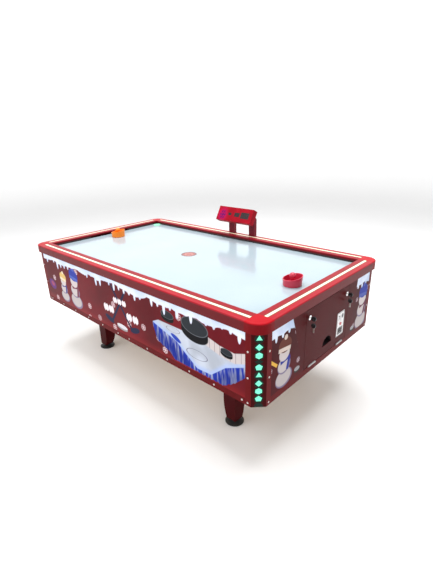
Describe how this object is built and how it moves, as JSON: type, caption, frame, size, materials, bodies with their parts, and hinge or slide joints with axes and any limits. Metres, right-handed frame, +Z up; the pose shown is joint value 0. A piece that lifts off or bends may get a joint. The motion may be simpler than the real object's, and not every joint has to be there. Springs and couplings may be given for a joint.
{
  "type": "air hockey table",
  "caption": "Coin-operated air hockey table: blown playfield in lit red rails, printed cabinet with service door, curved legs, scoreboard, mallets and puck.",
  "frame": {"origin": "on the floor under the middle of the table", "axes": "+X along the length towards the service door end, +Y across the table towards the scoreboard, +Z up"},
  "size_m": [2.198, 1.204, 1.0773],
  "materials": {
    "frame_red": "gloss deep red enamel on steel tube",
    "frame_grey": "grey primer on steel tube",
    "plywood": "bare birch plywood",
    "laminate": "gloss white laminate with fine air holes and a printed centre spot",
    "rail_paint": "gloss red lacquer over hardwood",
    "cap_paint": "gloss bright red moulded caps",
    "diffuser": "milky light strip cover",
    "cushion": "black rubber edge cushion",
    "zinc_sheet": "zinc plated sheet",
    "dark_plastic": "black moulded plastic",
    "side_print": "printed polycarbonate sheet, winter rink artwork on dark red",
    "end_paint": "satin dark red lacquer and winter decals on board",
    "door_paint": "satin dark red enamel",
    "column_paint": "gloss dark red enamel",
    "lamp": "mint green light bar",
    "blower_paint": "dark grey enamel",
    "motor_paint": "hammered dark green enamel",
    "box_grey": "grey powder coat",
    "switch_red": "red moulded plastic",
    "bright_steel": "bright steel",
    "plate_steel": "brushed steel plate with a dark pictogram",
    "lock_chrome": "polished chrome",
    "key_black": "black plastic bow on a nickel blade",
    "leg_paint": "dark red lacquer",
    "foot_rubber": "black rubber levelling foot",
    "post_paint": "dull red enamel",
    "score_paint": "gloss crimson enamel",
    "display_lens": "dark display window",
    "mallet_red": "crimson moulded plastic",
    "mallet_orange": "orange moulded plastic",
    "puck_mint": "luminous mint plastic"
  },
  "bodies": {
    "table": {"base_rails": "frame_red", "corner_posts": "frame_grey", "cross_beams": "frame_grey", "floor_board": "plywood", "plenum_floor": "plywood", "plenum_walls": "plywood", "plenum_ribs": "plywood", "side_boards": "plywood", "playfield": "laminate", "side_rail_front": "rail_paint", "side_rail_back": "rail_paint", "end_rail_left": "rail_paint", "end_rail_right": "rail_paint", "corner_caps": "cap_paint", "light_diffusers": "diffuser", "cushions": "cushion", "goal_chute_left": "zinc_sheet", "goal_chute_right": "zinc_sheet", "outlet_cup_left": "dark_plastic", "print_front": "side_print", "print_back": "side_print", "end_panel_left": "end_paint", "end_panel_right": "end_paint", "corner_columns": "column_paint", "column_lamps": "lamp", "blower_housing": "blower_paint", "blower_motor": "motor_paint", "control_box": "box_grey", "power_box": "dark_plastic", "mains_inlet": "dark_plastic", "hinge_frame_leaves": "bright_steel", "cash_box": "box_grey", "legs": "leg_paint", "score_posts": "post_paint", "score_housing": "score_paint", "score_displays": "display_lens", "panel_screws": "bright_steel"},
    "blower_wheel": {"blower_wheel": "zinc_sheet"},
    "door": {"service_door": "door_paint", "hinge_door_leaves": "bright_steel", "coin_plate": "plate_steel", "coin_mech": "box_grey", "outlet_cup_right": "dark_plastic", "lock_barrels": "lock_chrome"},
    "reject_button": {"reject_button": "switch_red"},
    "return_flap": {"return_flap": "dark_plastic"},
    "lock_left": {"lock_core_left": "lock_chrome", "key_left": "key_black"},
    "lock_right": {"lock_core_right": "lock_chrome", "key_right": "key_black"},
    "spare_key_left": {"spare_key_left": "key_black"},
    "spare_key_right": {"spare_key_right": "key_black"},
    "rocker": {"rocker_switch": "switch_red"},
    "foot_front_left": {"foot_front_left": "foot_rubber"},
    "foot_front_right": {"foot_front_right": "foot_rubber"},
    "foot_back_left": {"foot_back_left": "foot_rubber"},
    "foot_back_right": {"foot_back_right": "foot_rubber"},
    "mallet_red": {"mallet_red": "mallet_red"},
    "mallet_orange": {"mallet_orange": "mallet_orange"},
    "puck": {"puck": "puck_mint"}
  },
  "joints": [
    {"name": "blower_spin", "type": "hinge", "parent": "table", "child": "blower_wheel", "pos_m": [0, 0, 0.59], "axis": [0, 1, 0], "continuous": true},
    {"name": "door_swing", "type": "hinge", "parent": "table", "child": "door", "pos_m": [1.063, 0.01, 0.457], "axis": [0, 1, 0], "range_deg": [0, 95]},
    {"name": "reject_push", "type": "slide", "parent": "door", "child": "reject_button", "axis": [-1, 0, 0], "range_m": [0, 0.004], "stiffness_N_per_m": 400},
    {"name": "return_flap_swing", "type": "hinge", "parent": "door", "child": "return_flap", "pos_m": [1.059, 0.157, 0.552], "axis": [0, 1, 0], "range_deg": [0, 50]},
    {"name": "lock_left_turn", "type": "hinge", "parent": "door", "child": "lock_left", "pos_m": [1.063, -0.19, 0.747], "axis": [1, 0, 0], "range_deg": [0, 90]},
    {"name": "lock_right_turn", "type": "hinge", "parent": "door", "child": "lock_right", "pos_m": [1.063, 0.21, 0.747], "axis": [-1, 0, 0], "range_deg": [0, 90]},
    {"name": "spare_key_left_swing", "type": "hinge", "parent": "lock_left", "child": "spare_key_left", "pos_m": [1.087, -0.19, 0.7396], "axis": [0, -1, 0], "range_deg": [-8, 70]},
    {"name": "spare_key_right_swing", "type": "hinge", "parent": "lock_right", "child": "spare_key_right", "pos_m": [1.087, 0.21, 0.7396], "axis": [0, -1, 0], "range_deg": [-8, 70]},
    {"name": "rocker_tilt", "type": "hinge", "parent": "table", "child": "rocker", "pos_m": [-1.091, 0.294, 0.52], "axis": [0, 1, 0], "range_deg": [0, 16]},
    {"name": "foot_front_left_thread", "type": "slide", "parent": "table", "child": "foot_front_left", "axis": [0, 0, -1], "range_m": [0, 0.02]},
    {"name": "foot_front_right_thread", "type": "slide", "parent": "table", "child": "foot_front_right", "axis": [0, 0, -1], "range_m": [0, 0.02]},
    {"name": "foot_back_left_thread", "type": "slide", "parent": "table", "child": "foot_back_left", "axis": [0, 0, -1], "range_m": [0, 0.02]},
    {"name": "foot_back_right_thread", "type": "slide", "parent": "table", "child": "foot_back_right", "axis": [0, 0, -1], "range_m": [0, 0.02]},
    {"name": "mallet_red_slide", "type": "slide", "parent": "table", "child": "mallet_red", "axis": [1, 0, 0], "range_m": [-0.8, 0.05]},
    {"name": "mallet_orange_slide", "type": "slide", "parent": "table", "child": "mallet_orange", "axis": [1, 0, 0], "range_m": [-0.07, 0.78]},
    {"name": "puck_slide", "type": "slide", "parent": "table", "child": "puck", "axis": [1, 0, 0], "range_m": [-0.015, 1.875]}
  ]
}
